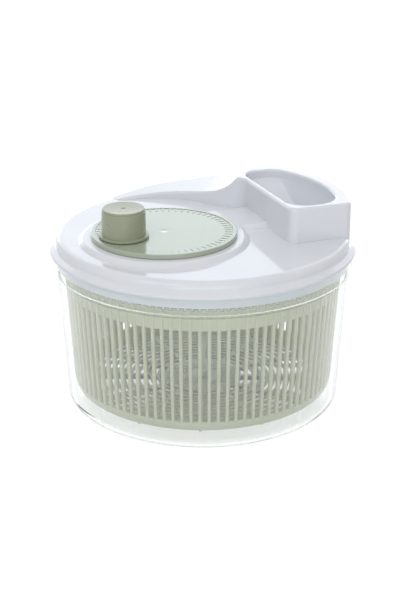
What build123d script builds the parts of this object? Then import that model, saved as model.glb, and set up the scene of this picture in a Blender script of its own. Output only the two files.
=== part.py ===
from build123d import *
import math
import os

# Crank-driven salad spinner: clear bowl, slotted basket and geared lid. Millimetres, +Z up.
# The origin is the centre of the bowl's underside, on the axis that the basket spins about.
# +X points from that axis to the grip pocket in the lid, and the lid's walls follow X and Y.

# ---------------------------------------------------------------- fits and gaps
running_gap = 0.05  # a shaft in its bush, on the radius
hexagon_gap = 0.10  # a hexagon in its socket, across the flats
seat_gap = 0.30  # faces that pass or face each other without touching
screw_gap = 0.30  # a screw's shank in a clearance hole, on the radius
snug_gap = 0.05  # a pressed bush, a snapped cap or a screw in the thread it has cut, on the radius
screw_end_gap = 1.0  # a screw hole's extra depth
weld = 0.5  # how far one solid shape runs into the next
skirt_gap = 0.50  # the lid's skirt inside the bowl's rim, on the radius
gear_backlash = 0.30  # play between the crank gear's and the pinion's teeth

# ---------------------------------------------------------------- bowl
bowl_height = 131.0
bowl_rim_radius = 122.6
bowl_flare = 3.3  # how far the rim stands out past the shoulder
bowl_taper = 10.0  # how far it stands out past the foot of the wall
bowl_corner = 9.4
bowl_wall = 2.2
bowl_floor = 2.4
bowl_band_depth = 17.0  # the shoulder's depth below the rim
bowl_flare_depth = 13.5  # the top of the flare below the rim
bowl_flare_rounding = 1.2
rim_rounding = 0.7

pivot_radius = 2.5
pivot_length = 8.0
pivot_cone_radius = 12.0
pivot_cone_top_radius = 5.0
pivot_cone_height = 6.0

# ---------------------------------------------------------------- basket
floor_ribs = 12
bars_per_sector = 8
teeth_per_sector = 11
pivot_reach = 4.0  # how far the pivot's tip stands above the underside of the basket
basket_side_gap = 4.0  # the water's way down between the basket and the bowl
basket_floor = 2.0
basket_wall = 2.0
basket_corner = 9.0
basket_rim_drop = 9.8  # the basket's rim below the bowl's
basket_rim_depth = 4.2
basket_rim_gap = 1.4  # inside the lid's skirt
basket_yaw = -21.7  # how the basket, and the plate that drives it, happen to stand at rest

slot_width = 4.3
slot_foot = 10.1  # where the wall slots start, above the basket's underside
basket_band = 19.7  # the solid band between the wall slots and the rim's top
bar_proud = 0.8
bar_width = 2.2
rim_slope = 1.2

floor_slot_pitch = 5.8
floor_slot_width = 3.5
floor_slot_inner_radius = 34.6
floor_web = 3.6
floor_rib_width = 2.0
floor_rib_depth = 2.6
floor_ring_radius = 49.0
floor_ring_width = 2.2
floor_ring_depth = 4.8
hub_flutes = 36
hub_flute_inner_radius = 15.0
hub_flute_margin = 2.8  # from the flutes' ends to the first row of slots
hub_flute_width = 1.1
hub_flute_height = 0.6
socket_wall = 1.9
socket_cap = 2.2
socket_boss_depth = 3.2
socket_end_gap = 0.1

# ---------------------------------------------------------------- lid shell
lid_wall = 2.2
lid_setback = 3.1  # the lid's drum inside the outside of the bowl's rim
flange_overhang = 2.4  # past the outside of the bowl's rim
flange_edge = 2.4
flange_height = 4.7
flange_step = 1.2
flange_rounding = 0.9
skirt_depth = 8.0
drum_height = 12.3  # the deck above the bowl's rim
deck_rounding = 6.0
form_root = 2.0  # how far the forms on the deck reach down inside it

turret_height = 3.7  # above the deck; the crank turns on its top
turret_radius = 69.0
turret_slope = 4.0
turret_rounding = 2.6

bridge_front = -8.0
bridge_back = 34.0
bridge_slope = 4.0

grip_inner_x = 53.0
grip_front_y = -56.0
grip_back_y = 47.0
grip_back_angle = 45.0
grip_height = 27.7  # above the deck, at the foot of the normal below
grip_top_normal = (0.015, 0.022, 1.0)
grip_corner = 7.0
grip_outer_corner = 7.0
grip_edge_rounding = 2.7
grip_hollow_rounding = 12.0  # where the ramp's inner wall runs into the grip's

# The ramp climbs round the back of the deck: angle about the lid's axis, inner radius, rise.
ramp_stations = [
    (113.0, 109.0, -0.5),
    (104.0, 101.5, 2.7),
    (94.0, 93.5, 5.1),
    (82.0, 84.5, 7.0),
    (70.0, 73.5, 9.7),
    (60.0, 66.5, 13.3),
    (52.0, 65.0, 17.9),
    (45.0, 66.0, 25.3),
    (39.0, 71.0, 33.7),
]
ramp_rounding = 2.0
ramp_crown = 4.0  # how wide the fall-off along the ramp's outer edge is

pocket_margins = (4.8, 6.4, 11.9)  # the mouth inside the grip's inner wall, front wall and drum
pocket_back = 61.0
pocket_corners = (17.0, 27.0, 14.0, 14.0)  # from the inner front one round by the drum
pocket_neck = 9.0  # how deep the straight-walled part under the mouth is
pocket_sink = 7.3  # the pocket's floor below the deck
pocket_floor_margins = (9.0, 15.0, 16.0)
pocket_floor_back = 30.0
pocket_floor_corner = 12.0
pocket_rounding = 1.9  # round the mouth
pocket_overshoot = 4.0  # how far the cutting shape stands over the grip

# ---------------------------------------------------------------- gears and the crank's bearing
gear_module = 1.25
gear_teeth = 46
pinion_teeth = 14
pressure_angle = 20.0
gear_thickness = 5.0
pinion_extra_height = 0.8  # the pinion is taller than the gear by this much above it
pinion_extra_depth = 1.0  # and by this much below it
crank_gear_addendum = 1.15
gear_web_holes = 6
gear_web_hole_radius = 5.2
gear_web_hole_circle = 17.6
crank_angle = 194.0  # where the crank's axis lies about the lid's axis

spigot_radius = 7.0
spigot_hexagon = 9.0
crank_bush_wall = 1.95
crank_bush_flange_radius = 11.5
crank_bush_flange = 1.2
collar_wall = 2.4

pinion_shaft_radius = 6.0
pinion_hexagon = 9.0
pinion_journal_radius = 4.0
pinion_journal_length = 3.4
journal_wall = 2.8
pinion_bush_wall = 1.95
pinion_bush_flange_radius = 10.6
pinion_bush_flange = 1.2
washer_thickness = 1.0
thrust_washer_radius = 9.6

screw_shank_radius = 1.5
screw_head_radius = 3.2
screw_head_height = 1.7
screw_socket = 2.0  # across the flats of the drive recess
screw_socket_depth = 0.9
screw_chamfer = 0.5
screw_length = 11.0
clamp_washer_radius = 7.5

# ---------------------------------------------------------------- gear cover and drive plate
cover_side_gap = 0.5
cover_thickness = 1.8
cover_drop = 1.2  # the cover's underside below the bowl's rim
cover_screw_pattern = (95.0, 164.0)
cover_boss_radius = 4.2
cover_screw_length = 8.5
cover_stiffener_radius = 88.0
cover_stiffener_width = 1.6
cover_stiffener_height = 1.6
cover_gap = 0.5  # the cover over the drive plate's hub

plate_web = 2.0
plate_rim_width = 4.6
plate_rim_rise = 0.5
plate_hub_radius = 11.0
plate_hub_rise = 4.1
plate_hub_drop = 1.7
plate_ribs = 6
plate_rib_width = 1.8
plate_rib_height = 2.0
rim_daylight = 1.5  # between the plate's rim and the basket's, where only the teeth cross
drive_tooth_reach = 1.6  # into the basket's rim
drive_tooth_share = 0.30  # of the pitch

# ---------------------------------------------------------------- crank disc and knob
disc_radius = 58.7
disc_lift = 0.4  # the disc over the lid's turret
disc_edge = 3.6
disc_top_wall = 2.0
disc_lip = 3.4
disc_lip_height = 0.4
disc_skirt_wall = 2.0
disc_edge_rounding = 0.7
disc_rib_count = 60
disc_rib_length = 6.5
disc_rib_width = 1.2
disc_rib_height = 0.25
disc_dimple_radius = 4.6
disc_dimple_depth = 0.35
disc_hub_radius = 10.0

knob_angle = 185.4  # where the knob stands about the crank's axis at rest
knob_throw = 34.9
knob_lift = 0.7  # from the disc to the knob, over the disc's ribs
knob_height = 23.2
knob_foot_radius = 17.5
knob_top_radius = 17.3
knob_collar = 2.4  # proud of the foot
knob_collar_height = 1.9
knob_wall = 2.0
knob_web = 2.6
knob_rounding = 0.6
knob_post_radius = 6.0
knob_post_height = 13.5
knob_sleeve_wall = 2.2
knob_washer_radius = 9.0
knob_cap_thickness = 1.8
knob_cap_setback = 0.6  # the cap's edge inside the knob's
knob_cap_dish = 0.5
knob_cap_dimple_radius = 1.6  # where the plastic entered the cap's mould
knob_cap_dimple_depth = 0.3
knob_cap_spigot_wall = 1.4
knob_cap_spigot_length = 2.2

# ---------------------------------------------------------------- levels and places that follow
bar_count = floor_ribs * bars_per_sector
tooth_count = floor_ribs * teeth_per_sector
bowl_shoulder_height = bowl_height - bowl_band_depth
bowl_flare_height = bowl_height - bowl_flare_depth
pivot_top = bowl_floor + pivot_cone_height + pivot_length
socket_top = pivot_top + socket_end_gap + socket_cap

bowl_shoulder_radius = bowl_rim_radius - bowl_flare
bowl_base_radius = bowl_rim_radius - bowl_taper  # where the wall's outside would meet the underside
skirt_radius = bowl_rim_radius - bowl_wall - skirt_gap
skirt_inside = skirt_radius - lid_wall
skirt_bottom = bowl_height - skirt_depth
lid_radius = bowl_rim_radius - lid_setback
flange_radius = bowl_rim_radius + flange_overhang
deck_height = bowl_height + drum_height
deck_inside = deck_height - lid_wall
form_foot = deck_inside - form_root
crank_bearing_height = deck_height + turret_height
turret_inside = crank_bearing_height - lid_wall
grip_top = deck_height + grip_height
pocket_floor_height = deck_height - pocket_sink

basket_underside = pivot_top - pivot_reach
basket_floor_top = basket_underside + basket_floor
basket_rim_top = bowl_height - basket_rim_drop
basket_base_radius = bowl_base_radius - bowl_wall - basket_side_gap
basket_top_radius = bowl_shoulder_radius - bowl_wall - basket_side_gap
basket_rim_radius = skirt_inside - basket_rim_gap
slot_bottom = basket_underside + slot_foot
slot_top = basket_rim_top - basket_band
floor_slot_reach = basket_base_radius - basket_corner - floor_slot_inner_radius
floor_slot_rows = 1 + int(floor_slot_reach / floor_slot_pitch)
hub_flute_outer_radius = floor_slot_inner_radius - floor_slot_width / 2 - hub_flute_margin

crank_distance = gear_module * (gear_teeth + pinion_teeth) / 2
crank_x = crank_distance * math.cos(math.radians(crank_angle))
crank_y = crank_distance * math.sin(math.radians(crank_angle))
crank_axis = Location((crank_x, crank_y, 0))

cover_radius = skirt_inside - cover_side_gap
cover_underside = bowl_height - cover_drop
cover_top = cover_underside + cover_thickness
pinion_bush_top = cover_top + pinion_bush_flange
pinion_washer_bottom = pinion_bush_top + running_gap
pinion_bottom = pinion_washer_bottom + washer_thickness
gear_bottom = pinion_bottom + pinion_extra_depth
gear_top = gear_bottom + gear_thickness
pinion_top = gear_top + pinion_extra_height
collar_bottom = gear_top + seat_gap
collar_bore = spigot_radius + running_gap + crank_bush_wall + snug_gap
journal_bottom = pinion_top + seat_gap
journal_bore = pinion_journal_radius + running_gap

disc_bottom = crank_bearing_height + disc_lift
disc_top = disc_bottom + disc_edge - disc_lip_height
disc_hub_seat = crank_bearing_height + crank_bush_flange + running_gap
crank_screw_top = gear_bottom - washer_thickness

knob_x = crank_x + knob_throw * math.cos(math.radians(knob_angle))
knob_y = crank_y + knob_throw * math.sin(math.radians(knob_angle))
knob_axis = Location((knob_x, knob_y, 0))
knob_bottom = disc_top + knob_lift
knob_top = knob_bottom + knob_height
knob_post_top = disc_top + knob_post_height
knob_bore_radius = knob_post_radius + running_gap
knob_collar_radius = knob_foot_radius + knob_collar
knob_rim_height = knob_top - knob_cap_thickness
knob_cavity_radius = knob_top_radius - knob_wall
knob_cap_radius = knob_top_radius - knob_cap_setback
knob_web_top = knob_post_top - seat_gap

plate_hub_top = cover_underside - cover_gap
plate_web_top = plate_hub_top - plate_hub_rise
plate_web_bottom = plate_web_top - plate_web
plate_hub_bottom = plate_web_bottom - plate_hub_drop
plate_rim_bottom = basket_rim_top + rim_daylight
plate_rim_radius = basket_rim_radius
drive_tooth_bottom = basket_rim_top - drive_tooth_reach
tooth_pitch = 2 * math.pi * basket_rim_radius / tooth_count
drive_tooth_width = drive_tooth_share * tooth_pitch
notch_width = drive_tooth_width + 2 * seat_gap
notch_bottom = drive_tooth_bottom - seat_gap


def basket_outside(height):
    """Radius of the basket wall's outside at a height."""
    share = (height - basket_underside) / (basket_rim_top - basket_underside)
    return basket_base_radius + share * (basket_top_radius - basket_base_radius)


def screw(head_bottom, length):
    """Screw on the Z axis that points up, with a hexagonal recess in its head."""
    with BuildPart() as piece:
        with BuildSketch(Plane.XY.offset(head_bottom)):
            Circle(screw_head_radius)
        extrude(amount=screw_head_height)
        chamfer(piece.edges().group_by(Axis.Z)[0], length=screw_chamfer)
        with BuildSketch(Plane.XY.offset(head_bottom + screw_head_height)):
            Circle(screw_shank_radius)
        extrude(amount=length)
        chamfer(piece.edges().group_by(Axis.Z)[-1], length=screw_chamfer)
        with BuildSketch(Plane.XY.offset(head_bottom)):
            RegularPolygon(screw_socket / 2, 6, major_radius=False)
        extrude(amount=screw_socket_depth, mode=Mode.SUBTRACT)
    return piece.part


def washer(bottom, inner_radius, outer_radius):
    """Flat washer on the Z axis."""
    with BuildPart() as piece:
        with BuildSketch(Plane.XY.offset(bottom)):
            Circle(outer_radius)
            Circle(inner_radius, mode=Mode.SUBTRACT)
        extrude(amount=washer_thickness)
    return piece.part


def gear_outline(teeth, phase, addendum):
    """Points of a spur gear's outline with involute flanks. A tooth's middle lies at phase degrees."""
    pitch_radius = gear_module * teeth / 2
    base_radius = pitch_radius * math.cos(math.radians(pressure_angle))
    tip_radius = pitch_radius + addendum
    root_radius = pitch_radius - 1.25 * gear_module

    def involute(radius):
        angle = math.acos(min(1.0, base_radius / radius))
        return math.tan(angle) - angle

    def half_angle(radius):
        at_pitch = math.pi / (2 * teeth) - gear_backlash / (4 * pitch_radius)
        return at_pitch + involute(pitch_radius) - involute(max(radius, base_radius))

    flank_start = max(root_radius, base_radius)
    flank = [flank_start + share * (tip_radius - flank_start) for share in (0, 0.3, 0.65, 1)]
    if root_radius < base_radius:
        flank.insert(0, root_radius)
    points = []
    for tooth in range(teeth):
        middle = math.radians(phase) + 2 * math.pi * tooth / teeth
        rising = [(radius, middle - half_angle(radius)) for radius in flank]
        falling = [(radius, middle + half_angle(radius)) for radius in reversed(flank)]
        points += [(radius * math.cos(angle), radius * math.sin(angle)) for radius, angle in rising + falling]
    return points


def turret(inset):
    """Round turret under the crank, on the crank's axis, smaller all round by inset."""
    base = turret_radius - inset
    top = turret_radius - turret_slope - inset
    with BuildPart() as form:
        with BuildSketch(Plane.XZ):
            with BuildLine():
                Polyline(
                    (0, form_foot),
                    (base, form_foot),
                    (base, deck_height - inset),
                    (top, crank_bearing_height - inset),
                    (0, crank_bearing_height - inset),
                    close=True,
                )
            make_face()
        revolve(axis=Axis.Z)
        if inset == 0:
            fillet(form.edges().filter_by(GeomType.CIRCLE).group_by(Axis.Z)[-1], turret_rounding)
    return form.part.moved(crank_axis)


def bridge(inset):
    """Low bridge over the gears, from the turret to the grip, smaller all round by inset."""
    with BuildPart() as form:
        with BuildSketch(Plane.YZ):
            with BuildLine():
                Polyline(
                    (bridge_front - bridge_slope + inset, deck_height - lid_wall / 2 - inset),
                    (bridge_front + inset, crank_bearing_height - inset),
                    (bridge_back - inset, crank_bearing_height - inset),
                    (bridge_back + bridge_slope - inset, deck_height - lid_wall / 2 - inset),
                    close=True,
                )
            make_face()
        extrude(amount=grip_inner_x + lid_wall / 2 - inset)
    return form.part


def raised_form_limits(inset):
    """Underside and sloping top plane that the ramp and the grip's block share."""
    foot = deck_height - deck_rounding if inset == 0 else bowl_height + flange_edge
    top_plane = Plane(origin=(grip_inner_x, 0, grip_top), z_dir=grip_top_normal)
    return foot, top_plane.offset(-inset)


def grip_block(inset):
    """Block for the grip pocket, smaller all round by inset. Only the outer form has rounded edges."""
    outer_form = inset == 0
    foot, top_plane = raised_form_limits(inset)
    back_direction = math.radians(grip_back_angle)
    back_corner = (flange_radius * math.cos(back_direction), flange_radius * math.sin(back_direction))
    with BuildPart() as form:
        with BuildSketch(Plane.XY.offset(foot)):
            with BuildLine():
                Polyline(
                    (grip_inner_x, grip_front_y),
                    (grip_inner_x, grip_back_y),
                    back_corner,
                    (2 * lid_radius, back_corner[1]),
                    (2 * lid_radius, grip_front_y),
                    close=True,
                )
            footprint = make_face()
            fillet(footprint.vertices().sort_by_distance((grip_inner_x, grip_front_y, foot))[0], grip_corner)
            if not outer_form:
                offset(amount=-inset, kind=Kind.INTERSECTION, mode=Mode.REPLACE)
        extrude(amount=grip_top)
        split(bisect_by=top_plane, keep=Keep.BOTTOM)
        with BuildSketch(Plane.XY.offset(foot)) as envelope:
            Circle(lid_radius - inset)
            if outer_form:
                with Locations((0, grip_front_y)):
                    Rectangle(2 * lid_radius, lid_radius, align=(Align.CENTER, Align.MAX), mode=Mode.SUBTRACT)
                fillet(envelope.vertices().group_by(Axis.Y)[0].sort_by(Axis.X)[-1], grip_outer_corner)
        extrude(amount=grip_top, mode=Mode.INTERSECT)
        if outer_form:
            fillet(form.faces().filter_by(GeomType.PLANE).sort_by(Axis.Z)[-1].edges(), grip_edge_rounding)
    return form.part


def ramp_and_grip(inset):
    """Ramp that climbs round the back of the deck, and the block for the grip pocket that it ends in.

    Both are smaller all round by inset. The outer form is rounded, the inner one is not.
    """
    outer_form = inset == 0
    foot, top_plane = raised_form_limits(inset)
    crown_shift = inset * math.tan(math.pi / 8)  # along a face, for a corner between faces at 45 degrees
    with BuildPart() as form:
        for angle, inner_radius, rise in ramp_stations:
            top = deck_height + rise
            crown_foot = top - ramp_crown - weld - inset - crown_shift
            # The section's plane has its X outwards and its Y up.
            outwards = Vector(1, 0, 0).rotate(Axis.Z, angle)
            normal = Vector(0, -1, 0).rotate(Axis.Z, angle)
            with BuildSketch(Plane((0, 0, 0), x_dir=outwards, z_dir=normal)) as section:
                with BuildLine():
                    Polyline(
                        (inner_radius + inset, foot),
                        (lid_radius + weld, foot),
                        (lid_radius + weld, crown_foot),
                        (lid_radius - ramp_crown - crown_shift, top - inset),
                        (inner_radius + inset, top - inset),
                        close=True,
                    )
                make_face()
                if outer_form:
                    fillet(section.vertices().group_by(Axis.Y)[-1].sort_by(Axis.X)[0], ramp_rounding)
        loft()
        split(bisect_by=top_plane, keep=Keep.BOTTOM)
        with BuildSketch(Plane.XY.offset(foot)):
            Circle(lid_radius - inset)
        extrude(amount=grip_top, mode=Mode.INTERSECT)
        add(grip_block(inset))
        if outer_form:
            inner_wall_end = (grip_inner_x, grip_back_y, deck_height + grip_height / 2)
            fillet(form.edges().filter_by(GeomType.BSPLINE).sort_by_distance(inner_wall_end)[0], grip_hollow_rounding)
    return form.part


def pocket(grow):
    """Space inside the grip pocket, or with grow the pocket's cup: larger all round by grow."""
    floor_corners = 4 * (pocket_floor_corner,)
    with BuildPart() as form:
        for height, corners, back, (side_margin, front_margin, outer_margin) in (
            (pocket_floor_height - grow, floor_corners, pocket_floor_back, pocket_floor_margins),
            (grip_top - pocket_neck, pocket_corners, pocket_back, pocket_margins),
        ):
            side = grip_inner_x + side_margin
            front = grip_front_y + front_margin
            outer_radius = lid_radius - outer_margin
            front_end = (math.sqrt(outer_radius**2 - front**2), front)
            back_end = (math.sqrt(outer_radius**2 - back**2), back)
            with BuildSketch(Plane.XY.offset(height)) as outline:
                with BuildLine():
                    RadiusArc(front_end, back_end, -outer_radius)
                    Polyline(back_end, (side, back), (side, front), front_end)
                make_face()
                for corner, radius in zip(((side, front), front_end, back_end, (side, back)), corners):
                    fillet(outline.vertices().sort_by_distance((*corner, height))[0], radius)
                if grow > 0:
                    offset(amount=grow, mode=Mode.REPLACE)
        loft(ruled=True)
        neck_section = form.faces().filter_by(GeomType.PLANE).sort_by(Axis.Z)[-1]
        extrude(neck_section, amount=pocket_neck + pocket_overshoot)
    return form.part


# ================================================================ bowl
with BuildPart() as bowl:
    with BuildSketch(Plane.XZ):
        with BuildLine():
            outside = FilletPolyline(
                (0, 0),
                (bowl_base_radius, 0),
                (bowl_shoulder_radius, bowl_shoulder_height),
                (bowl_rim_radius, bowl_flare_height),
                (bowl_rim_radius, bowl_height),
                radius=[bowl_corner, bowl_flare_rounding, bowl_flare_rounding],
            )
            inside = FilletPolyline(
                (0, bowl_floor),
                (bowl_base_radius - bowl_wall, bowl_floor),
                (bowl_shoulder_radius - bowl_wall, bowl_shoulder_height),
                (bowl_rim_radius - bowl_wall, bowl_flare_height),
                (bowl_rim_radius - bowl_wall, bowl_height),
                radius=[bowl_corner - bowl_wall, bowl_flare_rounding, bowl_flare_rounding],
            )
            Line(outside @ 0, inside @ 0)
            Line(outside @ 1, inside @ 1)
        make_face()
    revolve(axis=Axis.Z)
    fillet(bowl.edges().filter_by(GeomType.CIRCLE).group_by(Axis.Z)[-1], rim_rounding)
    # The pivot: a cone rising from the floor, with a round-ended pin on it.
    with BuildSketch(Plane.XZ):
        with BuildLine():
            Polyline(
                (0, bowl_floor / 2),
                (pivot_cone_radius, bowl_floor / 2),
                (pivot_cone_radius, bowl_floor),
                (pivot_cone_top_radius, bowl_floor + pivot_cone_height),
                (pivot_radius, bowl_floor + pivot_cone_height),
                (pivot_radius, pivot_top - pivot_radius),
            )
            RadiusArc((pivot_radius, pivot_top - pivot_radius), (0, pivot_top), -pivot_radius)
            Line((0, pivot_top), (0, bowl_floor / 2))
        make_face()
    revolve(axis=Axis.Z)
bowl.part.label = "bowl"

# ================================================================ basket
with BuildPart() as basket_bar:
    # One bar's outer rib: it stands proud of the wall and runs on up over the solid band.
    with BuildSketch(Plane.XZ):
        with BuildLine():
            rib_bottom = basket_underside + basket_corner
            rib_top = basket_rim_top - basket_rim_depth + weld
            Polyline(
                (basket_outside(rib_bottom) - basket_wall / 2, rib_bottom),
                (basket_outside(rib_bottom), rib_bottom),
                (basket_outside(slot_bottom + bar_proud) + bar_proud, slot_bottom + bar_proud),
                (basket_outside(rib_top) + bar_proud, rib_top),
                (basket_outside(rib_top) - basket_wall / 2, rib_top),
                close=True,
            )
        make_face()
    extrude(amount=bar_width / 2, both=True)

with BuildPart() as basket:
    with BuildSketch(Plane.XZ):
        with BuildLine():
            outside = FilletPolyline(
                (0, basket_underside),
                (basket_base_radius, basket_underside),
                (basket_outside(basket_rim_top - basket_rim_depth), basket_rim_top - basket_rim_depth),
                radius=[basket_corner],
            )
            inside = FilletPolyline(
                (0, basket_floor_top),
                (basket_base_radius - basket_wall, basket_floor_top),
                (basket_top_radius - basket_wall, basket_rim_top),
                radius=[basket_corner - basket_wall],
            )
            Line(outside @ 0, inside @ 0)
            Polyline(
                outside @ 1,
                (basket_rim_radius, basket_rim_top - basket_rim_depth + rim_slope),
                (basket_rim_radius, basket_rim_top),
                inside @ 1,
            )
        make_face()
    revolve(axis=Axis.Z)
    # Ribs and a ring that stiffen the floor from below.
    with BuildSketch(Plane.XY.offset(basket_underside - floor_rib_depth)):
        with PolarLocations(0, floor_ribs, start_angle=basket_yaw):
            Rectangle(basket_base_radius - basket_corner, floor_rib_width, align=(Align.MIN, Align.CENTER))
    extrude(amount=floor_rib_depth + basket_floor / 2)
    with BuildSketch(Plane.XY.offset(basket_underside - floor_ring_depth)):
        Circle(floor_ring_radius + floor_ring_width / 2)
        Circle(floor_ring_radius - floor_ring_width / 2, mode=Mode.SUBTRACT)
    extrude(amount=floor_ring_depth + basket_floor / 2)
    # Flutes on the hub.
    with BuildSketch(Plane.XY.offset(basket_floor_top - basket_floor / 2)):
        flute_middle = (hub_flute_inner_radius + hub_flute_outer_radius) / 2
        with PolarLocations(flute_middle, hub_flutes, start_angle=basket_yaw):
            Rectangle(hub_flute_outer_radius - hub_flute_inner_radius, hub_flute_width)
    extrude(amount=basket_floor / 2 + hub_flute_height)
    # Pivot socket: a boss below the floor and a small domed turret above it.
    with BuildSketch(Plane.XY.offset(basket_underside - socket_boss_depth)):
        Circle(pivot_radius + running_gap + 2 * socket_wall)
    extrude(amount=socket_boss_depth + basket_floor / 2)
    with BuildSketch(Plane.XY.offset(basket_underside)):
        Circle(pivot_radius + running_gap + socket_wall)
    extrude(amount=socket_top - basket_underside)
    socket_edges = basket.edges().filter_by(lambda edge: abs(edge.center().Z - socket_top) < running_gap)
    fillet(socket_edges, socket_wall - running_gap)
    with BuildSketch(Plane.XY.offset(basket_underside - socket_boss_depth)):
        Circle(pivot_radius + running_gap)
    extrude(amount=pivot_top + socket_end_gap - basket_underside + socket_boss_depth, mode=Mode.SUBTRACT)
    with PolarLocations(0, bar_count, start_angle=basket_yaw):
        add(basket_bar.part)
    # Wall slots, between the bars.
    with BuildSketch(Plane.XY.offset(slot_bottom)):
        with PolarLocations(basket_top_radius, bar_count, start_angle=basket_yaw + 180 / bar_count):
            Rectangle(4 * basket_corner, slot_width)
    extrude(amount=slot_top - slot_bottom, mode=Mode.SUBTRACT)
    # Floor slots: concentric rows, broken by the webs that the radial ribs lie under.
    with BuildSketch(Plane.XY.offset(basket_underside)):
        for row in reversed(range(floor_slot_rows)):
            row_radius = floor_slot_inner_radius + row * floor_slot_pitch
            Circle(row_radius + floor_slot_width / 2)
            Circle(row_radius - floor_slot_width / 2, mode=Mode.SUBTRACT)
        with PolarLocations(0, floor_ribs, start_angle=basket_yaw):
            Rectangle(basket_base_radius, floor_web, align=(Align.MIN, Align.CENTER), mode=Mode.SUBTRACT)
    extrude(amount=basket_floor, mode=Mode.SUBTRACT)
    # Notches in the rim that the drive plate's teeth drop into.
    with BuildSketch(Plane.XY.offset(notch_bottom)):
        with PolarLocations(basket_rim_radius, tooth_count, start_angle=basket_yaw):
            Rectangle(2 * (basket_rim_radius - basket_top_radius), notch_width)
    extrude(amount=basket_rim_top - notch_bottom, mode=Mode.SUBTRACT)
basket.part.label = "basket"

# ================================================================ lid shell
with BuildPart() as hollow:
    # The space inside the lid, around its bosses and the pocket's cup.
    with BuildSketch(Plane.XY.offset(skirt_bottom)):
        Circle(skirt_radius - lid_wall)
    extrude(amount=deck_inside - skirt_bottom)
    fillet(hollow.edges().group_by(Axis.Z)[-1], deck_rounding - lid_wall)
    add(bridge(lid_wall))
    add(turret(lid_wall))
    add(ramp_and_grip(lid_wall))
    add(pocket(lid_wall), mode=Mode.SUBTRACT)
    with BuildSketch(Plane.XY.offset(cover_top)):
        with GridLocations(*cover_screw_pattern, 2, 2):
            Circle(cover_boss_radius)
    extrude(amount=grip_top - cover_top, mode=Mode.SUBTRACT)
    with BuildSketch(Plane.XY.offset(collar_bottom)):
        with Locations((crank_x, crank_y)):
            Circle(collar_bore + collar_wall)
    extrude(amount=turret_inside - collar_bottom, mode=Mode.SUBTRACT)
    with BuildSketch(Plane.XY.offset(journal_bottom)):
        Circle(journal_bore + journal_wall)
    extrude(amount=turret_inside - journal_bottom, mode=Mode.SUBTRACT)

with BuildPart() as lid_shell:
    # Skirt, flange and drum.
    with BuildSketch(Plane.XZ) as lid_section:
        with BuildLine():
            Polyline(
                (0, skirt_bottom),
                (skirt_radius, skirt_bottom),
                (skirt_radius, bowl_height),
                (flange_radius, bowl_height),
                (flange_radius, bowl_height + flange_edge),
                (lid_radius + flange_step, bowl_height + flange_height),
                (lid_radius, bowl_height + flange_height + flange_step),
                (lid_radius, deck_height),
                (0, deck_height),
                close=True,
            )
        make_face()
        fillet(lid_section.vertices().group_by(Axis.Y)[-1].sort_by(Axis.X)[-1], deck_rounding)
        fillet(lid_section.vertices().group_by(Axis.X)[-1], flange_rounding)
    revolve(axis=Axis.Z)
    add(bridge(0))
    add(turret(0))
    add(ramp_and_grip(0))
    add(pocket(0), mode=Mode.SUBTRACT)
    mouth_face = lid_shell.faces().filter_by(GeomType.PLANE).sort_by(Axis.Z)[-1]
    fillet(mouth_face.inner_wires()[0].edges(), pocket_rounding)
    add(hollow.part, mode=Mode.SUBTRACT)
    # Bore for the crank's bush, blind bearing for the pinion's journal and the tapped screw holes.
    with BuildSketch(Plane.XY.offset(collar_bottom)):
        with Locations((crank_x, crank_y)):
            Circle(collar_bore)
    extrude(amount=crank_bearing_height - collar_bottom, mode=Mode.SUBTRACT)
    with BuildSketch(Plane.XY.offset(journal_bottom)):
        Circle(journal_bore)
    extrude(amount=turret_inside - journal_bottom, mode=Mode.SUBTRACT)
    with BuildSketch(Plane.XY.offset(cover_top)):
        with GridLocations(*cover_screw_pattern, 2, 2):
            Circle(screw_shank_radius + snug_gap)
    extrude(amount=cover_screw_length - cover_thickness + screw_end_gap, mode=Mode.SUBTRACT)
lid_shell.part.label = "lid_shell"

# ================================================================ gear cover and its screws
with BuildPart() as gear_cover:
    with BuildSketch(Plane.XY.offset(cover_underside)):
        Circle(cover_radius)
        Circle(pinion_shaft_radius + running_gap + pinion_bush_wall + snug_gap, mode=Mode.SUBTRACT)
        with GridLocations(*cover_screw_pattern, 2, 2):
            Circle(screw_shank_radius + screw_gap, mode=Mode.SUBTRACT)
    extrude(amount=cover_thickness)
    with BuildSketch(Plane.XY.offset(cover_top)):
        Circle(cover_stiffener_radius)
        Circle(cover_stiffener_radius - cover_stiffener_width, mode=Mode.SUBTRACT)
    extrude(amount=cover_stiffener_height)
gear_cover.part.label = "gear_cover"

with BuildPart() as cover_screws:
    with GridLocations(*cover_screw_pattern, 2, 2):
        add(screw(cover_underside - screw_head_height, cover_screw_length))
cover_screws.part.label = "cover_screws"

# ================================================================ crank: bush, disc, gear, washer and screw
with BuildPart() as crank_bush:
    with BuildSketch(Plane.XY.offset(collar_bottom)):
        with Locations((crank_x, crank_y)):
            Circle(spigot_radius + running_gap + crank_bush_wall)
            Circle(spigot_radius + running_gap, mode=Mode.SUBTRACT)
    extrude(amount=disc_hub_seat - collar_bottom)
    with BuildSketch(Plane.XY.offset(crank_bearing_height)):
        with Locations((crank_x, crank_y)):
            Circle(crank_bush_flange_radius)
            Circle(spigot_radius + running_gap, mode=Mode.SUBTRACT)
    extrude(amount=crank_bush_flange)
crank_bush.part.label = "crank_bush"

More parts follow.
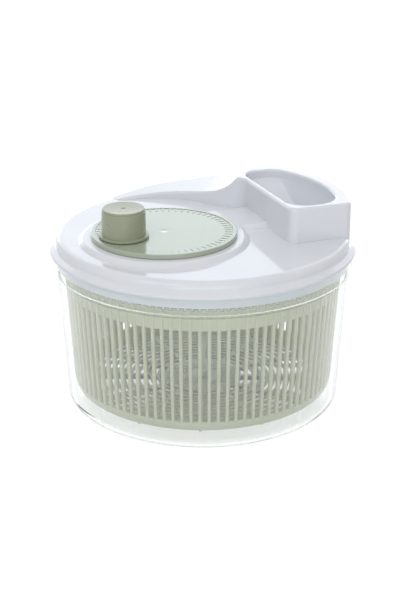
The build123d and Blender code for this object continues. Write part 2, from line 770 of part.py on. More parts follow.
with BuildPart() as crank_disc_form:
    with BuildSketch(Plane.XZ) as disc_section:
        with BuildLine():
            Polyline(
                (0, gear_top),
                (spigot_radius, gear_top),
                (spigot_radius, disc_hub_seat),
                (disc_hub_radius, disc_hub_seat),
                (disc_hub_radius, disc_top - disc_top_wall),
                (disc_radius - disc_skirt_wall, disc_top - disc_top_wall),
                (disc_radius - disc_skirt_wall, disc_bottom),
                (disc_radius, disc_bottom),
                (disc_radius, disc_top + disc_lip_height),
                (disc_radius - disc_lip, disc_top + disc_lip_height),
                (disc_radius - disc_lip, disc_top),
                (disc_dimple_radius, disc_top),
                (0, disc_top - disc_dimple_depth),
                close=True,
            )
        make_face()
        fillet(disc_section.vertices().group_by(Axis.X)[-1].sort_by(Axis.Y)[-1], disc_edge_rounding)
    revolve(axis=Axis.Z)
    with BuildSketch(Plane.XY.offset(gear_bottom)):
        RegularPolygon(spigot_hexagon / 2, 6, major_radius=False)
    extrude(amount=gear_thickness)
    with BuildSketch(Plane.XY.offset(disc_top - disc_top_wall / 2)):
        with PolarLocations(disc_radius - disc_lip - (disc_rib_length - weld) / 2, disc_rib_count):
            Rectangle(disc_rib_length + weld, disc_rib_width)
    extrude(amount=disc_top_wall / 2 + disc_rib_height)
    with BuildSketch(Plane.XY.offset(gear_bottom)):
        Circle(screw_shank_radius + snug_gap)
    extrude(amount=screw_length - washer_thickness + screw_end_gap, mode=Mode.SUBTRACT)

with BuildPart() as crank_disc:
    with Locations(crank_axis):
        add(crank_disc_form.part)
    # The post that the knob turns on.
    with BuildSketch(Plane.XY.offset(disc_top - disc_top_wall)):
        with Locations((knob_x, knob_y)):
            Circle(knob_post_radius)
    extrude(amount=knob_post_height + disc_top_wall)
    with BuildSketch(Plane.XY.offset(knob_post_top)):
        with Locations((knob_x, knob_y)):
            Circle(screw_shank_radius + snug_gap)
    extrude(amount=washer_thickness - screw_length - screw_end_gap, mode=Mode.SUBTRACT)
crank_disc.part.label = "crank_disc"

with BuildPart() as crank_gear_form:
    with BuildSketch(Plane.XY.offset(gear_bottom)):
        with BuildLine():
            # A gap between two teeth faces the pinion.
            gap_phase = crank_angle - 180 + 180 / gear_teeth
            Polyline(*gear_outline(gear_teeth, gap_phase, crank_gear_addendum), close=True)
        make_face()
        RegularPolygon((spigot_hexagon + hexagon_gap) / 2, 6, major_radius=False, mode=Mode.SUBTRACT)
        with PolarLocations(gear_web_hole_circle, gear_web_holes):
            Circle(gear_web_hole_radius, mode=Mode.SUBTRACT)
    extrude(amount=gear_thickness)

with BuildPart() as crank_gear:
    with Locations(crank_axis):
        add(crank_gear_form.part)
crank_gear.part.label = "crank_gear"

with BuildPart() as crank_washer:
    with Locations(crank_axis):
        add(washer(crank_screw_top, screw_shank_radius + screw_gap, clamp_washer_radius))
crank_washer.part.label = "crank_washer"

with BuildPart() as crank_screw:
    with Locations(crank_axis):
        add(screw(crank_screw_top - screw_head_height, screw_length))
crank_screw.part.label = "crank_screw"

# ================================================================ knob
with BuildPart() as knob_form:
    with BuildSketch(Plane.XZ) as knob_section:
        with BuildLine():
            Polyline(
                (knob_bore_radius, knob_bottom),
                (knob_bore_radius + knob_sleeve_wall, knob_bottom),
                (knob_bore_radius + knob_sleeve_wall, knob_web_top - knob_web),
                (knob_cavity_radius, knob_web_top - knob_web),
                (knob_foot_radius - knob_wall, knob_bottom),
                (knob_collar_radius, knob_bottom),
                (knob_collar_radius, knob_bottom + knob_collar_height),
                (knob_foot_radius, knob_bottom + knob_collar_height),
                (knob_top_radius, knob_rim_height),
                (knob_cavity_radius, knob_rim_height),
                (knob_cavity_radius, knob_web_top),
                (knob_bore_radius, knob_web_top),
                close=True,
            )
        make_face()
        fillet(knob_section.vertices().group_by(Axis.Y)[-1].sort_by(Axis.X)[-1], knob_rounding)
        fillet(knob_section.vertices().group_by(Axis.X)[-1].sort_by(Axis.Y)[-1], knob_rounding)
    revolve(axis=Axis.Z)

with BuildPart() as knob:
    with Locations(knob_axis):
        add(knob_form.part)
knob.part.label = "knob"

with BuildPart() as knob_washer:
    with Locations(knob_axis):
        add(washer(knob_post_top, screw_shank_radius + screw_gap, knob_washer_radius))
knob_washer.part.label = "knob_washer"

with BuildPart() as knob_screw:
    with Locations(Location((knob_x, knob_y, knob_post_top + washer_thickness), (180, 0, 0))):
        add(screw(-screw_head_height, screw_length))
knob_screw.part.label = "knob_screw"

with BuildPart() as knob_cap_form:
    with BuildSketch(Plane.XZ) as cap_section:
        with BuildLine():
            spigot_outer = knob_cavity_radius - snug_gap
            spigot_inner = spigot_outer - knob_cap_spigot_wall
            spigot_bottom = knob_rim_height - knob_cap_spigot_length
            Polyline(
                (0, knob_rim_height),
                (spigot_inner, knob_rim_height),
                (spigot_inner, spigot_bottom),
                (spigot_outer, spigot_bottom),
                (spigot_outer, knob_rim_height),
                (knob_cap_radius, knob_rim_height),
                (knob_cap_radius, knob_top),
            )
            RadiusArc((knob_cap_radius, knob_top), (0, knob_top - knob_cap_dish),
                      (knob_cap_radius**2 + knob_cap_dish**2) / (2 * knob_cap_dish))
            Line((0, knob_top - knob_cap_dish), (0, knob_rim_height))
        make_face()
        fillet(cap_section.vertices().group_by(Axis.Y)[-1], knob_rounding)
    revolve(axis=Axis.Z)
    with BuildSketch(Plane.XY.offset(knob_top)):
        Circle(knob_cap_dimple_radius)
    extrude(amount=-knob_cap_dish - knob_cap_dimple_depth, mode=Mode.SUBTRACT)

with BuildPart() as knob_cap:
    with Locations(knob_axis):
        add(knob_cap_form.part)
knob_cap.part.label = "knob_cap"

# ================================================================ pinion and drive plate
with BuildPart() as pinion:
    with BuildSketch(Plane.XY.offset(pinion_bottom)):
        with BuildLine():
            # A tooth points at the crank gear.
            Polyline(*gear_outline(pinion_teeth, crank_angle, gear_module), close=True)
        make_face()
    extrude(amount=pinion_top - pinion_bottom)
    with BuildSketch(Plane.XY.offset(pinion_top)):
        Circle(pinion_journal_radius)
    extrude(amount=pinion_journal_length)
    with BuildSketch(Plane.XY.offset(plate_hub_top)):
        Circle(pinion_shaft_radius)
    extrude(amount=pinion_bottom - plate_hub_top)
    with BuildSketch(Plane.XY.offset(plate_hub_bottom)):
        RegularPolygon(pinion_hexagon / 2, 6, major_radius=False, rotation=basket_yaw)
    extrude(amount=plate_hub_top - plate_hub_bottom)
    with BuildSketch(Plane.XY.offset(plate_hub_bottom)):
        Circle(screw_shank_radius + snug_gap)
    extrude(amount=screw_length - washer_thickness + screw_end_gap, mode=Mode.SUBTRACT)
pinion.part.label = "pinion"

with BuildPart() as pinion_washer:
    add(washer(pinion_washer_bottom, pinion_shaft_radius + running_gap, thrust_washer_radius))
pinion_washer.part.label = "pinion_washer"

with BuildPart() as pinion_bush:
    with BuildSketch(Plane.XY.offset(cover_underside)):
        Circle(pinion_shaft_radius + running_gap + pinion_bush_wall)
    extrude(amount=cover_thickness)
    with BuildSketch(Plane.XY.offset(cover_top)):
        Circle(pinion_bush_flange_radius)
    extrude(amount=pinion_bush_flange)
    with BuildSketch(Plane.XY.offset(cover_underside)):
        Circle(pinion_shaft_radius + running_gap)
    extrude(amount=pinion_bush_top - cover_underside, mode=Mode.SUBTRACT)
pinion_bush.part.label = "pinion_bush"

with BuildPart() as drive_plate:
    with BuildSketch(Plane.XZ):
        with BuildLine():
            Polyline(
                (0, plate_hub_bottom),
                (plate_hub_radius, plate_hub_bottom),
                (plate_hub_radius, plate_web_bottom),
                (plate_rim_radius - plate_rim_width, plate_web_bottom),
                (plate_rim_radius - plate_rim_width, plate_rim_bottom),
                (plate_rim_radius, plate_rim_bottom),
                (plate_rim_radius, plate_web_top + plate_rim_rise),
                (plate_rim_radius - plate_rim_width, plate_web_top + plate_rim_rise),
                (plate_rim_radius - plate_rim_width, plate_web_top),
                (plate_hub_radius, plate_web_top),
                (plate_hub_radius, plate_hub_top),
                (0, plate_hub_top),
                close=True,
            )
        make_face()
    revolve(axis=Axis.Z)
    with BuildSketch(Plane.XY.offset(plate_web_top)):
        rib_inner = plate_hub_radius - weld
        rib_outer = plate_rim_radius - plate_rim_width + weld
        with PolarLocations((rib_inner + rib_outer) / 2, plate_ribs, start_angle=basket_yaw):
            Rectangle(rib_outer - rib_inner, plate_rib_width)
    extrude(amount=plate_rib_height)
    with BuildSketch(Plane.XY.offset(drive_tooth_bottom)):
        tooth_inner = basket_top_radius + 2 * seat_gap
        tooth_outer = plate_rim_radius - seat_gap
        with PolarLocations((tooth_inner + tooth_outer) / 2, tooth_count, start_angle=basket_yaw):
            Rectangle(tooth_outer - tooth_inner, drive_tooth_width)
    extrude(amount=plate_rim_bottom - drive_tooth_bottom + weld)
    with BuildSketch(Plane.XY.offset(plate_hub_bottom)):
        RegularPolygon((pinion_hexagon + hexagon_gap) / 2, 6, major_radius=False, rotation=basket_yaw)
    extrude(amount=plate_hub_top - plate_hub_bottom, mode=Mode.SUBTRACT)
drive_plate.part.label = "drive_plate"

with BuildPart() as drive_washer:
    add(washer(plate_hub_bottom - washer_thickness, screw_shank_radius + screw_gap, clamp_washer_radius))
drive_washer.part.label = "drive_washer"

with BuildPart() as drive_screw:
    add(screw(plate_hub_bottom - washer_thickness - screw_head_height, screw_length))
drive_screw.part.label = "drive_screw"

# ================================================================ write the pieces
os.makedirs("parts", exist_ok=True)
for piece in (
    bowl, basket, lid_shell, gear_cover, cover_screws,
    crank_bush, crank_disc, crank_gear, crank_washer, crank_screw,
    knob, knob_washer, knob_screw, knob_cap,
    pinion, pinion_washer, pinion_bush, drive_plate, drive_washer, drive_screw,
):
    export_step(piece.part, f"parts/{piece.part.label}.step")
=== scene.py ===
import logging
import math
from dataclasses import dataclass, field
from enum import Enum
from typing import Any, Iterable, Mapping, Optional, Tuple, Union

import bpy
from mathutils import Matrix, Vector


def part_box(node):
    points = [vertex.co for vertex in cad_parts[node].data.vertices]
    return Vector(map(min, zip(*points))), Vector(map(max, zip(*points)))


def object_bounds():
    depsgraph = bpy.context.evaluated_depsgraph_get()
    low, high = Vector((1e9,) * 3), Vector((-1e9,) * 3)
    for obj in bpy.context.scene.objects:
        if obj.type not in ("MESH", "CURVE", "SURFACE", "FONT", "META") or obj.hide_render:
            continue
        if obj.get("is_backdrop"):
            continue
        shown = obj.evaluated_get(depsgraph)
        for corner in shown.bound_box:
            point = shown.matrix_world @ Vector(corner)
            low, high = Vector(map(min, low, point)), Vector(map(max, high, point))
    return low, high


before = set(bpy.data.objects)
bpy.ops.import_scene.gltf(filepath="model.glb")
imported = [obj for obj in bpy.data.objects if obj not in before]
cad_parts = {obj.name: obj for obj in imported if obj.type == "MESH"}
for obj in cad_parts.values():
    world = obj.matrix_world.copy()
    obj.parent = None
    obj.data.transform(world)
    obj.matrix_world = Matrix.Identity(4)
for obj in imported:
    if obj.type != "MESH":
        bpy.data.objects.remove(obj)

# Dresses a crank-driven salad spinner: clear bowl, slotted basket and geared lid. Metres, +Z up.
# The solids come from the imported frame. This script gives them their finishes and sets the stage.

LOG = logging.getLogger("salad_spinner")
MM = 0.001

Colour = Tuple[float, float, float, float]

WHITE = "#FFFFFF"
# The sRGB curve: straight up to its knee, and a power above it.
SRGB_KNEE = 0.04045
SRGB_SLOPE = 12.92
SRGB_OFFSET = 0.055
SRGB_POWER = 2.4
# Places of a colour mix's sockets, whose names its other kinds of mix share.
MIX_SHARE, MIX_FIRST, MIX_SECOND, MIX_RESULT = 0, 6, 7, 2
# The part of a noise texture's values that is stretched over all of what it drives.
DRIFT_SPAN = (0.32, 0.68)
SMEAR_SPAN = (0.3, 0.7)
# How many finer layers each noise texture has, and how strong they are where it isn't PLAIN_ROUGHNESS.
PLAIN_ROUGHNESS = 0.5
DRIFT_DETAIL = 3.0
DRIFT_ROUGHNESS = 0.55
SMEAR_DETAIL = 5.0
SMEAR_ROUGHNESS = 0.6
SWELL_DETAIL = 1.0
GRAIN_DETAIL = 2.0
LINE_DETAIL = 3.0
# How many smears of gloss go into one drift of colour.
SMEARS_PER_DRIFT = 6
# How far a finish's roughness strays to either side, as a share of it.
STEEL_STRAY = 0.3
HAZE_STRAY = 0.4
# How far red, green and blue light soak into a waxy plastic, as shares of its glow_depth.
GLOW_BY_COLOUR = (1.0, 1.0, 0.8)
# Rays for each point of a rounded edge.
EDGE_SAMPLES = 4


def linear(hex_colour: str) -> Colour:
    """Turns an sRGB hex value into a linear colour.

    Args:
        hex_colour: The colour as "#RRGGBB".

    Returns:
        Linear red, green and blue, and an alpha of one.
    """
    digits = hex_colour.lstrip("#")
    channels = [int(digits[i:i + 2], 16) / 255 for i in (0, 2, 4)]
    red, green, blue = (
        c / SRGB_SLOPE if c <= SRGB_KNEE else ((c + SRGB_OFFSET) / (1 + SRGB_OFFSET)) ** SRGB_POWER
        for c in channels
    )
    return (red, green, blue, 1.0)


def add_node(
    tree: bpy.types.NodeTree,
    kind: str,
    inputs: Optional[Mapping[Any, Any]] = None,
    **settings: Any,
) -> bpy.types.Node:
    """Adds a node with its settings, values and links.

    Args:
        tree: The node tree that gets the node.
        kind: The node's type, without its "ShaderNode" prefix.
        inputs: Values or output sockets, by the name or place of the input that gets them.
        **settings: The node's own settings.

    Returns:
        The new node.
    """
    node = tree.nodes.new("ShaderNode" + kind)
    for name, value in settings.items():
        setattr(node, name, value)
    for key, value in (inputs or {}).items():
        if isinstance(value, bpy.types.NodeSocket):
            tree.links.new(value, node.inputs[key])
        else:
            node.inputs[key].default_value = value
    return node


class MouldFace(Enum):
    """How the steel of the mould was finished: the grain's size and its depth, in millimetres."""

    POLISHED = (2.4, 0.004)
    SATIN = (0.9, 0.010)

    @property
    def grain(self) -> float:
        """Size of the grain, in millimetres."""
        return self.value[0]

    @property
    def depth(self) -> float:
        """Depth of the grain, in millimetres."""
        return self.value[1]


def blank_material(name: str) -> Tuple[bpy.types.Material, bpy.types.NodeTree]:
    """Makes a material with an empty node tree.

    Args:
        name: The material's name.

    Returns:
        The material and its node tree.
    """
    material = bpy.data.materials.new(name)
    material.use_nodes = True
    material.node_tree.nodes.clear()
    return material, material.node_tree


def grains_per_metre(size_mm: float) -> float:
    """Turns a pattern's real size into the scale that a texture node takes.

    Args:
        size_mm: The pattern's size, in millimetres.

    Returns:
        How many times the pattern comes in a metre.
    """
    return 1.0 / (size_mm * MM)


def mix_colours(
    tree: bpy.types.NodeTree,
    share: bpy.types.NodeSocket,
    first: str,
    second: str,
) -> bpy.types.NodeSocket:
    """Mixes two colours.

    Args:
        tree: The node tree to add to.
        share: The socket that gives the second colour's share.
        first: The first colour, as "#RRGGBB".
        second: The second colour, as "#RRGGBB".

    Returns:
        The socket of the mixed colour.
    """
    return add_node(tree, "Mix", {
        MIX_SHARE: share,
        MIX_FIRST: linear(first),
        MIX_SECOND: linear(second),
    }, data_type="RGBA").outputs[MIX_RESULT]


def noise(
    tree: bpy.types.NodeTree,
    place: bpy.types.NodeSocket,
    size_mm: float,
    detail: float,
    roughness: float = PLAIN_ROUGHNESS,
) -> bpy.types.NodeSocket:
    """Adds a noise pattern of a real size.

    Args:
        tree: The node tree to add to.
        place: The socket that gives the place on the piece.
        size_mm: The pattern's size, in millimetres.
        detail: How many finer layers it has.
        roughness: How strong the finer layers are.

    Returns:
        The socket of the pattern's values.
    """
    return add_node(tree, "TexNoise", {
        "Vector": place,
        "Scale": grains_per_metre(size_mm),
        "Detail": detail,
        "Roughness": roughness,
    }).outputs[0]


def relief(
    tree: bpy.types.NodeTree,
    height: bpy.types.NodeSocket,
    depth_mm: float,
    under: Optional[bpy.types.NodeSocket] = None,
) -> bpy.types.NodeSocket:
    """Adds a relief too fine to be modelled.

    Args:
        tree: The node tree to add to.
        height: The socket of the pattern that the relief follows.
        depth_mm: The relief's depth, in millimetres.
        under: The socket of the face that the relief lies on, where it isn't the plain one.

    Returns:
        The socket of the face with its relief.
    """
    inputs = {"Height": height, "Distance": depth_mm * MM}
    if under is not None:
        inputs["Normal"] = under
    return add_node(tree, "Bump", inputs).outputs[0]


@dataclass(frozen=True)
class MouldedPlastic:
    """An opaque injection-moulded plastic.

    The colour drifts a little over the part, as pigment does in a melt. The face copies the mould's
    steel as a fine grain, with a soft swell over it where the wall shrank while it cooled.
    """

    name: str
    colour: str
    drift_colour: str
    roughness: float
    roughness_drift: float
    ior: float
    mould_face: MouldFace
    drift_size: float = 45.0
    swell_size: float = 16.0
    swell_depth: float = 0.012
    edge_radius: float = 0.35
    coat: float = 0.0
    coat_roughness: float = 0.08
    glow: float = 0.0
    glow_depth: float = 1.5

    def material(self) -> bpy.types.Material:
        """Builds the plastic's material.

        Returns:
            The material.
        """
        material, tree = blank_material(self.name)
        place = add_node(tree, "TexCoord").outputs["Object"]
        share = add_node(tree, "MapRange", {
            "Value": noise(tree, place, self.drift_size, DRIFT_DETAIL, DRIFT_ROUGHNESS),
            "From Min": DRIFT_SPAN[0],
            "From Max": DRIFT_SPAN[1],
        })
        smear_size = self.drift_size / SMEARS_PER_DRIFT
        sheen = add_node(tree, "MapRange", {
            "Value": noise(tree, place, smear_size, SMEAR_DETAIL, SMEAR_ROUGHNESS),
            "From Min": SMEAR_SPAN[0],
            "From Max": SMEAR_SPAN[1],
            "To Min": self.roughness - self.roughness_drift,
            "To Max": self.roughness + self.roughness_drift,
        })
        edge = add_node(tree, "Bevel", {"Radius": self.edge_radius * MM}, samples=EDGE_SAMPLES)
        swell = noise(tree, place, self.swell_size, SWELL_DETAIL)
        swollen = relief(tree, swell, self.swell_depth, edge.outputs[0])
        grain = noise(tree, place, self.mould_face.grain, GRAIN_DETAIL)
        shader = add_node(tree, "BsdfPrincipled", {
            "Base Color": mix_colours(tree, share.outputs[0], self.colour, self.drift_colour),
            "Roughness": sheen.outputs[0],
            "IOR": self.ior,
            "Coat Weight": self.coat,
            "Coat Roughness": self.coat_roughness,
            "Subsurface Weight": self.glow,
            "Subsurface Radius": GLOW_BY_COLOUR,
            "Subsurface Scale": self.glow_depth * MM,
            "Normal": relief(tree, grain, self.mould_face.depth, swollen),
        })
        add_node(tree, "OutputMaterial", {"Surface": shader.outputs[0]})
        return material


@dataclass(frozen=True)
class ClearPlastic:
    """A clear injection-moulded plastic, through which lamps and the light that it bounces pass."""

    name: str
    colour: str
    lamp_tint: str
    roughness: float
    ior: float
    swell_size: float
    swell_depth: float

    def material(self) -> bpy.types.Material:
        """Builds the clear material.

        Returns:
            The material.
        """
        material, tree = blank_material(self.name)
        place = add_node(tree, "TexCoord").outputs["Object"]
        swell = noise(tree, place, self.swell_size, SWELL_DETAIL)
        haze = add_node(tree, "MapRange", {
            "Value": swell,
            "From Min": SMEAR_SPAN[0],
            "From Max": SMEAR_SPAN[1],
            "To Min": self.roughness * (1 - HAZE_STRAY),
            "To Max": self.roughness * (1 + HAZE_STRAY),
        })
        shader = add_node(tree, "BsdfPrincipled", {
            "Base Color": linear(self.colour),
            "Roughness": haze.outputs[0],
            "IOR": self.ior,
            "Transmission Weight": 1.0,
            "Normal": relief(tree, swell, self.swell_depth),
        })
        passing = add_node(tree, "BsdfTransparent", {"Color": linear(self.lamp_tint)})
        ray = add_node(tree, "LightPath")
        lit = add_node(tree, "Math", {
            0: ray.outputs["Is Shadow Ray"],
            1: ray.outputs["Is Diffuse Ray"],
        }, operation="MAXIMUM")
        wall = add_node(tree, "MixShader", {
            0: lit.outputs[0],
            1: shader.outputs[0],
            2: passing.outputs[0],
        })
        add_node(tree, "OutputMaterial", {"Surface": wall.outputs[0]})
        return material


@dataclass(frozen=True)
class StainlessSteel:
    """Stainless steel with the fine parallel lines that a tool or a brush left on it."""

    name: str
    colour: str
    drift_colour: str
    roughness: float
    line_pitch: float
    line_length: float
    line_depth: float

    def material(self) -> bpy.types.Material:
        """Builds the steel's material.

        Returns:
            The material.
        """
        material, tree = blank_material(self.name)
        place = add_node(tree, "TexCoord").outputs["Object"]
        along = grains_per_metre(self.line_length)
        across = grains_per_metre(self.line_pitch)
        drawn = add_node(tree, "Mapping", {"Vector": place, "Scale": (along, across, across)})
        lines = add_node(tree, "TexNoise", {
            "Vector": drawn.outputs[0],
            "Scale": 1.0,
            "Detail": LINE_DETAIL,
        }).outputs[0]
        sheen = add_node(tree, "MapRange", {
            "Value": lines,
            "To Min": self.roughness * (1 - STEEL_STRAY),
            "To Max": self.roughness * (1 + STEEL_STRAY),
        })
        shader = add_node(tree, "BsdfPrincipled", {
            "Base Color": mix_colours(tree, lines, self.colour, self.drift_colour),
            "Metallic": 1.0,
            "Roughness": sheen.outputs[0],
            "Normal": relief(tree, lines, self.line_depth),
        })
        add_node(tree, "OutputMaterial", {"Surface": shader.outputs[0]})
        return material


# Crystal polystyrene, injection-moulded in a polished mould: water-clear, with a high index that
# draws bright and dark lines along its rim, shoulder and corner.
CLEAR_STYRENE = ClearPlastic(
    name="clear_styrene",
    colour="#FBFDFC",
    lamp_tint="#F8FAF9",
    roughness=0.015,
    ior=1.59,
    swell_size=22.0,
    swell_depth=0.010,
)

# ABS, injection-moulded in a polished mould: hard, bright and glossy, a cool white.
WHITE_ABS = MouldedPlastic(
    name="white_abs",
    colour="#EBEDF2",
    drift_colour="#E7EAF0",
    roughness=0.10,
    roughness_drift=0.03,
    ior=1.54,
    mould_face=MouldFace.POLISHED,
    edge_radius=0.6,
)

# ABS coloured sage in the melt, from a polished mould: the disc that the knob stands on.
SAGE_ABS = MouldedPlastic(
    name="sage_abs",
    colour="#B1BAA8",
    drift_colour="#ACB5A2",
    roughness=0.14,
    roughness_drift=0.03,
    ior=1.54,
    mould_face=MouldFace.POLISHED,
    coat=0.4,
    coat_roughness=0.05,
)

# The same ABS from a satin mould, so that wet fingers hold it: the knob and its cap.
SAGE_ABS_SATIN = MouldedPlastic(
    name="sage_abs_satin",
    colour="#A3A990",
    drift_colour="#9EA48B",
    roughness=0.30,
    roughness_drift=0.04,
    ior=1.54,
    mould_face=MouldFace.SATIN,
)

# Polypropylene, injection-moulded: pale sage, waxy, and light soaks a little way into it.
SAGE_POLYPROPYLENE = MouldedPlastic(
    name="sage_polypropylene",
    colour="#DBDDC9",
    drift_colour="#D6D8C3",
    roughness=0.24,
    roughness_drift=0.05,
    ior=1.49,
    mould_face=MouldFace.SATIN,
    glow=0.9,
    glow_depth=4.0,
)

# High-impact polystyrene, injection-moulded: the plain white parts inside the lid.
WHITE_POLYSTYRENE = MouldedPlastic(
    name="white_polystyrene",
    colour="#EEEFEF",
    drift_colour="#E8EAEA",
    roughness=0.34,
    roughness_drift=0.05,
    ior=1.59,
    mould_face=MouldFace.SATIN,
)

# Acetal, injection-moulded: milky white and slippery, which gears and bushes are made of.
ACETAL_GEAR = MouldedPlastic(
    name="acetal_gear",
    colour="#E9E8E1",
    drift_colour="#E2E1D8",
    roughness=0.28,
    roughness_drift=0.05,
    ior=1.48,
    mould_face=MouldFace.SATIN,
    drift_size=14.0,
)
ACETAL_BEARING = MouldedPlastic(
    name="acetal_bearing",
    colour="#DFDED3",
    drift_colour="#D6D5C8",
    roughness=0.24,
    roughness_drift=0.05,
    ior=1.48,
    mould_face=MouldFace.POLISHED,
    drift_size=9.0,
)

# Stainless steel strip, rolled and stamped: the flat washers.
STAMPED_STEEL = StainlessSteel(
    name="stamped_stainless_steel",
    colour="#C9CBCC",
    drift_colour="#B4B7B9",
    roughness=0.32,
    line_pitch=0.25,
    line_length=6.0,
    line_depth=0.006,
)

# Stainless steel wire, cold-headed with rolled threads: the screws.
SCREW_STEEL = StainlessSteel(
    name="headed_stainless_steel",
    colour="#B9BCBE",
    drift_colour="#A2A6A9",
    roughness=0.26,
    line_pitch=0.35,
    line_length=3.0,
    line_depth=0.010,
)


Finish = Union[MouldedPlastic, ClearPlastic, StainlessSteel]


@dataclass
class Assembly:
    """Pieces that are put together before they go into the whole, each with its finish."""

    finishes: Mapping[str, Finish] = field(default_factory=dict)

    def dress(self, made: dict[str, bpy.types.Material]) -> None:
        """Gives each piece its finish.

        Args:
            made: Materials built so far, by name; new ones are added to it.
        """
        for node, finish in self.finishes.items():
            if finish.name not in made:
                made[finish.name] = finish.material()
            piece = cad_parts[node]
            for number, slot in enumerate(piece.material_slots):
                slot.link = "DATA"
                piece.data.materials[number] = made[finish.name]
            low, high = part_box(node)
            LOG.info("%s: %s, %.1f mm high", node, finish.name, (high.z - low.z) / MM)


@dataclass
class Bowl(Assembly):
    """The clear bowl, with the pivot that the basket turns on."""

    finishes: Mapping[str, Finish] = field(default_factory=lambda: {
        "bowl": CLEAR_STYRENE,
    })


@dataclass
class Basket(Assembly):
    """The slotted basket."""

    finishes: Mapping[str, Finish] = field(default_factory=lambda: {
        "basket": SAGE_POLYPROPYLENE,
    })


@dataclass
class Lid(Assembly):
    """The lid's shell, the cover under its gears, and what is fixed in them."""

    finishes: Mapping[str, Finish] = field(default_factory=lambda: {
        "lid_shell": WHITE_ABS,
        "gear_cover": WHITE_POLYSTYRENE,
        "cover_screws": SCREW_STEEL,
        "crank_bush": ACETAL_BEARING,
        "pinion_bush": ACETAL_BEARING,
    })


@dataclass
class Crank(Assembly):
    """The disc with its gear, and the knob that turns them."""

    finishes: Mapping[str, Finish] = field(default_factory=lambda: {
        "crank_disc": SAGE_ABS,
        "crank_gear": ACETAL_GEAR,
        "crank_washer": STAMPED_STEEL,
        "crank_screw": SCREW_STEEL,
        "knob": SAGE_ABS_SATIN,
        "knob_cap": SAGE_ABS_SATIN,
        "knob_washer": STAMPED_STEEL,
        "knob_screw": SCREW_STEEL,
    })


@dataclass
class Drive(Assembly):
    """The pinion and the plate whose teeth turn the basket."""

    finishes: Mapping[str, Finish] = field(default_factory=lambda: {
        "pinion": ACETAL_GEAR,
        "pinion_washer": STAMPED_STEEL,
        "drive_plate": WHITE_POLYSTYRENE,
        "drive_washer": STAMPED_STEEL,
        "drive_screw": SCREW_STEEL,
    })


def direction_of(azimuth: float, elevation: float) -> Vector:
    """Finds the direction from the object to something that stands round it.

    Args:
        azimuth: Degrees round the object, zero in front of it and growing to the right.
        elevation: Degrees above the floor.

    Returns:
        The direction, of length one.
    """
    turn, rise = math.radians(azimuth), math.radians(elevation)
    return Vector((
        math.sin(turn) * math.cos(rise),
        -math.cos(turn) * math.cos(rise),
        math.sin(rise),
    ))


@dataclass(frozen=True)
class Softbox:
    """A square-cornered lamp with an even face.

    It stands at an azimuth, zero in front of the object and growing to the right, and an elevation,
    both in degrees. Its brightness is what a white surface close before its face would show.
    """

    name: str
    azimuth: float
    elevation: float
    distance: float
    width: float
    height: float
    brightness: float
    colour: str

    def place(self, target: Vector) -> None:
        """Puts the lamp in the scene, facing a point.

        Args:
            target: The point that the lamp faces.
        """
        lamp = bpy.data.lights.new(self.name, "AREA")
        lamp.shape = "RECTANGLE"
        lamp.size = self.width
        lamp.size_y = self.height
        lamp.energy = self.brightness * math.pi * self.width * self.height
        lamp.color = linear(self.colour)[:3]
        holder = bpy.data.objects.new(self.name, lamp)
        bpy.context.scene.collection.objects.link(holder)
        towards = direction_of(self.azimuth, self.elevation)
        holder.location = target + self.distance * towards
        holder.rotation_euler = towards.to_track_quat("Z", "Y").to_euler()
        holder.visible_camera = False


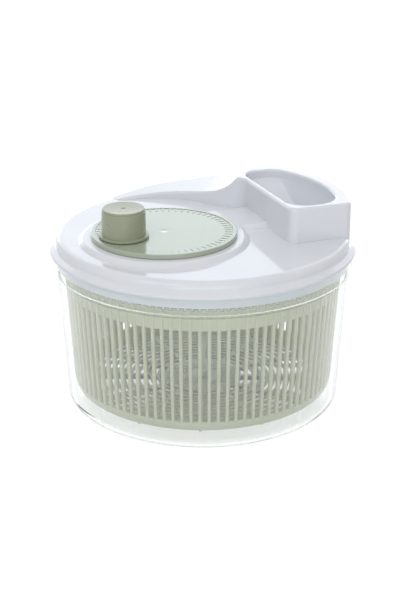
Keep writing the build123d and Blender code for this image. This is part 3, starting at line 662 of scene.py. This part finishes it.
@dataclass
class Stage:
    """The pale floor, the world and the lamps.

    Dark flags stand at both ends of flag_axis, which runs across the camera's view from left to
    right. They begin where a direction's share along the axis is flag_start, and at the axis itself
    flag_light of the light is left.
    """

    floor_radius: float = 8.0
    floor_gap: float = 0.2 * MM
    floor_steps: int = 96
    floor_colour: str = "#E6E8EA"
    floor_seen_colour: str = "#A8AAAC"
    floor_glow: float = 0.82
    world_colour: str = WHITE
    world_low_strength: float = 0.25
    world_high_strength: float = 1.0
    flag_axis: Tuple[float, float, float] = (0.9367, -0.3502, 0.0)
    flag_start: float = 0.35
    flag_light: float = 0.25
    lamps: Tuple[Softbox, ...] = (
        Softbox("back_panel", 159.5, 26.0, 2.0, 3.2, 1.3, 0.95, "#E2EFFF"),
        Softbox("low_back_softbox", 159.5, 5.0, 1.8, 2.4, 0.5, 1.6, WHITE),
        Softbox("left_softbox", -58.0, 42.0, 1.6, 0.9, 0.7, 1.25, WHITE),
        Softbox("front_softbox", -18.0, 12.0, 1.5, 1.3, 0.9, 1.2, WHITE),
    )

    def background_share(self, tree: bpy.types.NodeTree) -> bpy.types.NodeSocket:
        """Finds the rays that see the background.

        They come from the camera, off gloss and through clear plastic.

        Args:
            tree: The node tree to add to.

        Returns:
            A socket that is one for those rays and zero for the rays that light a surface.
        """
        ray = add_node(tree, "LightPath")
        glossy = add_node(tree, "Math", {
            0: ray.outputs["Is Camera Ray"],
            1: ray.outputs["Is Glossy Ray"],
        }, operation="MAXIMUM")
        return add_node(tree, "Math", {
            0: glossy.outputs[0],
            1: ray.outputs["Is Transmission Ray"],
        }, operation="MAXIMUM").outputs[0]

    def set_world(self) -> None:
        """Makes the world: white behind the object, and a soft light on it.

        The light is brightest overhead, and dark flags take it away on the left and the right.
        """
        world = bpy.data.worlds.new("studio")
        world.use_nodes = True
        tree = world.node_tree
        tree.nodes.clear()
        seen = add_node(tree, "Background", {"Color": linear(WHITE), "Strength": 1.0})
        direction = add_node(tree, "TexCoord").outputs["Generated"]
        upwards = add_node(tree, "SeparateXYZ", {0: direction})
        height = add_node(tree, "MapRange", {
            "Value": upwards.outputs["Z"],
            "To Min": self.world_low_strength,
            "To Max": self.world_high_strength,
        })
        sideways = add_node(tree, "VectorMath", {
            0: direction,
            1: self.flag_axis,
        }, operation="DOT_PRODUCT")
        either_side = add_node(tree, "Math", {0: sideways.outputs["Value"]}, operation="ABSOLUTE")
        flags = add_node(tree, "MapRange", {
            "Value": either_side.outputs[0],
            "From Min": self.flag_start,
            "To Min": 1.0,
            "To Max": self.flag_light,
        })
        strength = add_node(tree, "Math", {
            0: height.outputs[0],
            1: flags.outputs[0],
        }, operation="MULTIPLY")
        light = add_node(tree, "Background", {
            "Color": linear(self.world_colour),
            "Strength": strength.outputs[0],
        })
        both = add_node(tree, "MixShader", {
            0: self.background_share(tree),
            1: light.outputs[0],
            2: seen.outputs[0],
        })
        add_node(tree, "OutputWorld", {"Surface": both.outputs[0]})
        bpy.context.scene.world = world

    def lay_floor(self) -> None:
        """Makes the round pale floor."""
        outline = [
            (
                self.floor_radius * math.cos(2 * math.pi * step / self.floor_steps),
                self.floor_radius * math.sin(2 * math.pi * step / self.floor_steps),
                -self.floor_gap,
            )
            for step in range(self.floor_steps)
        ]
        mesh = bpy.data.meshes.new("floor")
        mesh.from_pydata(outline, [], [list(range(self.floor_steps))])
        material, tree = blank_material("floor_paper")
        share = self.background_share(tree)
        glow = add_node(tree, "Math", {0: share, 1: self.floor_glow}, operation="MULTIPLY")
        shader = add_node(tree, "BsdfPrincipled", {
            "Base Color": mix_colours(tree, share, self.floor_colour, self.floor_seen_colour),
            "Roughness": 1.0,
            "Specular IOR Level": 0.0,
            "Emission Color": linear(WHITE),
            "Emission Strength": glow.outputs[0],
        })
        add_node(tree, "OutputMaterial", {"Surface": shader.outputs[0]})
        mesh.materials.append(material)
        floor = bpy.data.objects.new("floor", mesh)
        bpy.context.scene.collection.objects.link(floor)
        floor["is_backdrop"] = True

    def build(self, target: Vector) -> None:
        """Builds the stage round the object.

        Args:
            target: The point that the lamps face.
        """
        self.set_world()
        self.lay_floor()
        for lamp in self.lamps:
            lamp.place(target)
            LOG.info("lamp %s placed", lamp.name)


@dataclass
class Viewpoint:
    """The camera: where it stands, and what it looks at.

    Angles are in degrees, distances in metres, and the lens and the sensor in millimetres.
    """

    azimuth: float = -20.5
    elevation: float = 21.8
    distance: float = 1.2
    target_height: float = 81.64 * MM
    side_step: float = -1.83 * MM
    lens: float = 86.43
    sensor: float = 36.0
    nearest: float = 0.05
    farthest: float = 50.0

    def place(self) -> None:
        """Makes the scene's camera."""
        back = direction_of(self.azimuth, self.elevation)
        turn = math.radians(self.azimuth)
        side = Vector((math.cos(turn), math.sin(turn), 0.0))
        camera = bpy.data.cameras.new("camera")
        camera.sensor_width = self.sensor
        camera.lens = self.lens
        camera.clip_start = self.nearest
        camera.clip_end = self.farthest
        holder = bpy.data.objects.new("camera", camera)
        bpy.context.scene.collection.objects.link(holder)
        target = Vector((0, 0, self.target_height))
        holder.location = target + self.distance * back + self.side_step * side
        holder.rotation_euler = back.to_track_quat("Z", "Y").to_euler()
        bpy.context.scene.camera = holder


def main() -> None:
    """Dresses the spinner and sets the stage."""
    logging.basicConfig(level=logging.INFO, format="%(name)s: %(message)s")
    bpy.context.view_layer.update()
    made: dict[str, bpy.types.Material] = {}
    for assembly in (Bowl(), Basket(), Lid(), Crank(), Drive()):
        LOG.info("%s", type(assembly).__name__)
        assembly.dress(made)
    bpy.context.scene.view_settings.view_transform = "Standard"
    Viewpoint().place()
    low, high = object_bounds()
    Stage().build((low + high) / 2)


if __name__ == "__main__":
    main()
